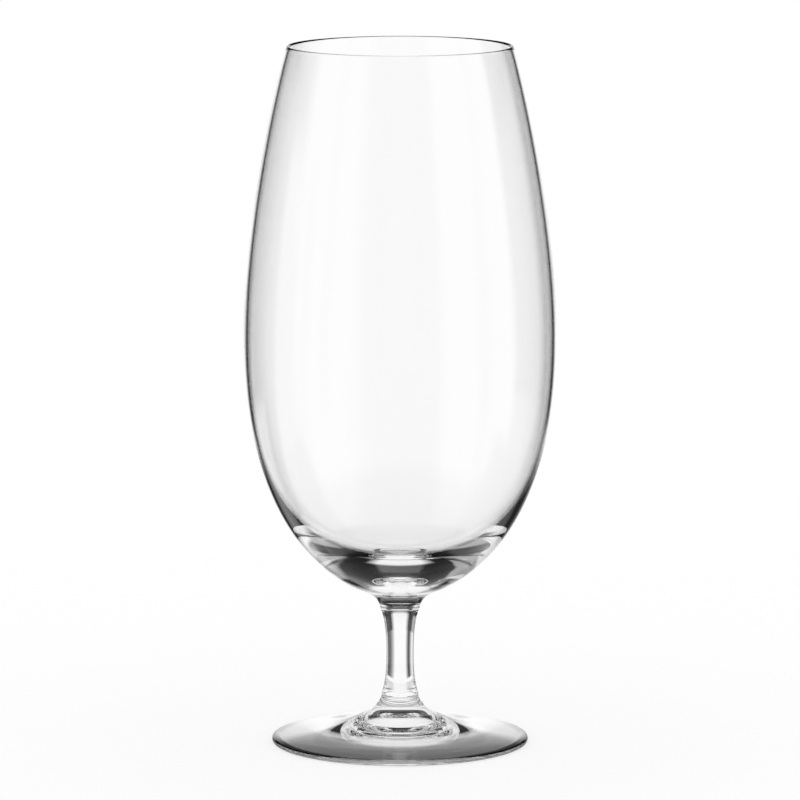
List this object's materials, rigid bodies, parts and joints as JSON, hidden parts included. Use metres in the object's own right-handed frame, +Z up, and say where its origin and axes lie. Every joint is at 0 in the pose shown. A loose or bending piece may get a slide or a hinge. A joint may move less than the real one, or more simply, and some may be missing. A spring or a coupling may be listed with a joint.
{
  "type": "stemmed beer glass",
  "caption": "Clear stemmed beer glass: a tall egg-shaped bowl that narrows to a fire-polished rim, on a short waisted stem and a wide round foot.",
  "frame": {"origin": "under the middle of the foot, on the plane that the glass stands on", "axes": "+Z up along the axis that every piece is turned about, from the foot to the rim; X and Y lie in the table's plane, and the glass looks the same from every side"},
  "size_m": [0.0868, 0.0868, 0.195],
  "materials": {
    "blown_glass": "clear, fire-polished",
    "drawn_glass": "clear, fire-polished",
    "pressed_glass": "clear, fire-polished"
  },
  "bodies": {
    "root": {"bowl": "blown_glass", "stem": "drawn_glass", "foot": "pressed_glass"}
  },
  "joints": []
}
